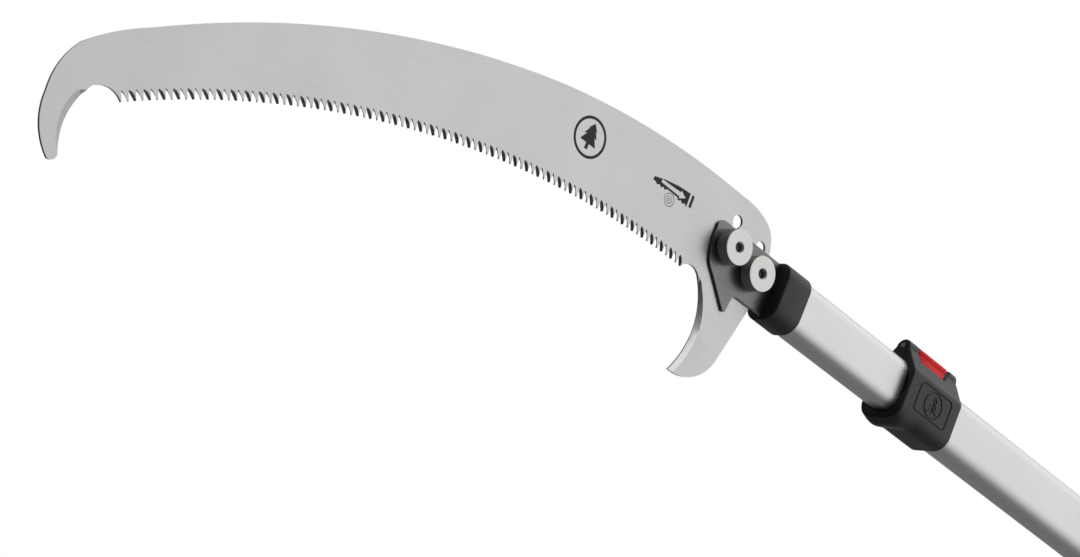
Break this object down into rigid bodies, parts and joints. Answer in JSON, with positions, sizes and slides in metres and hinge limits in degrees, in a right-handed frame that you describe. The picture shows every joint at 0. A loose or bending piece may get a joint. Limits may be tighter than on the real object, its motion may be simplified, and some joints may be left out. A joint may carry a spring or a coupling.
{
  "type": "telescoping pole saw",
  "caption": "Telescoping pole saw: nested oval tubes with push-button clamps, and a curved hooked pruning blade held by knurled nuts.",
  "frame": {"origin": "centre of the butt cap's end face, on the pole axis", "axes": "+Z along the pole from the butt to the blade; -Y is the saw's front, where the nuts are; the blade curves towards -X"},
  "size_m": [0.1881, 0.0341, 1.9724],
  "materials": {
    "anodised_tube": "satin anodised",
    "black_nylon": "fine grain",
    "guide_nylon": "smooth",
    "red_nylon": "satin",
    "pin_steel": "ground",
    "spring_steel": "drawn wire",
    "screw_steel": "zinc plated",
    "stud_steel": "turned",
    "plate_steel": "dark satin coating",
    "blade_steel": "hard chromed, brushed",
    "nut_steel": "nickel plated, knurled side",
    "grip_rubber": "matte, ribbed",
    "cap_rubber": "matte"
  },
  "bodies": {
    "lower_pole": {"tube_bottom": "anodised_tube", "lower_clamp": "black_nylon", "lower_button_pin": "pin_steel", "lower_button_spring": "spring_steel", "lower_clamp_screws": "screw_steel", "grip": "grip_rubber", "butt_cap": "cap_rubber"},
    "middle_pole": {"tube_middle": "anodised_tube", "middle_foot_guide": "guide_nylon", "upper_clamp": "black_nylon", "upper_button_pin": "pin_steel", "upper_button_spring": "spring_steel", "upper_clamp_screws": "screw_steel"},
    "head": {"tube_top": "anodised_tube", "top_foot_guide": "guide_nylon", "collar": "black_nylon", "head_plug": "guide_nylon", "head_rivets": "screw_steel", "head_plate": "plate_steel"},
    "lower_release": {"lower_button": "red_nylon", "lower_lock_pin": "pin_steel"},
    "upper_release": {"upper_button": "red_nylon", "upper_lock_pin": "pin_steel"},
    "saw_blade": {"blade": "blade_steel"},
    "nut_one": {"upper_nut": "nut_steel"},
    "nut_two": {"lower_nut": "nut_steel"},
    "stud_one": {"upper_stud": "stud_steel"},
    "stud_two": {"lower_stud": "stud_steel"}
  },
  "joints": [
    {"name": "middle_extension", "type": "slide", "parent": "lower_pole", "child": "middle_pole", "axis": [0, 0, 1], "range_m": [0, 1.05]},
    {"name": "top_extension", "type": "slide", "parent": "middle_pole", "child": "head", "axis": [0, 0, 1], "range_m": [0, 1.05]},
    {"name": "lower_release_press", "type": "hinge", "parent": "lower_pole", "child": "lower_release", "pos_m": [0.0234, 0, 1.2393], "axis": [0, 1, 0], "range_deg": [0, 10], "stiffness_Nm_per_rad": 0.2, "springref_deg": -6.88, "deforming": ["lower_button_spring"]},
    {"name": "upper_release_press", "type": "hinge", "parent": "middle_pole", "child": "upper_release", "pos_m": [0.022, 0, 1.4387], "axis": [0, 1, 0], "range_deg": [0, 10], "stiffness_Nm_per_rad": 0.2, "springref_deg": -6.88, "deforming": ["upper_button_spring"]},
    {"name": "blade_release", "type": "slide", "parent": "head", "child": "saw_blade", "axis": [-1, 0, 0], "range_m": [0, 0.0152]},
    {"name": "nut_one_turn", "type": "hinge", "parent": "head", "child": "nut_one", "pos_m": [0.0049, -0.0063, 1.6], "axis": [0, -1, 0], "range_deg": [0, 450]},
    {"name": "nut_two_turn", "type": "hinge", "parent": "head", "child": "nut_two", "pos_m": [0.0011, -0.0063, 1.5793], "axis": [0, -1, 0], "range_deg": [0, 450]},
    {"name": "stud_one_travel", "type": "slide", "parent": "head", "child": "stud_one", "axis": [0, 1, 0], "range_m": [0, 0.0011]},
    {"name": "stud_two_travel", "type": "slide", "parent": "head", "child": "stud_two", "axis": [0, 1, 0], "range_m": [0, 0.0011]}
  ],
  "couplings": [
    {"joint": "stud_one_travel", "follows": "nut_one_turn", "m_per_rad": 0.00012732},
    {"joint": "stud_two_travel", "follows": "nut_two_turn", "m_per_rad": 0.00012732}
  ]
}
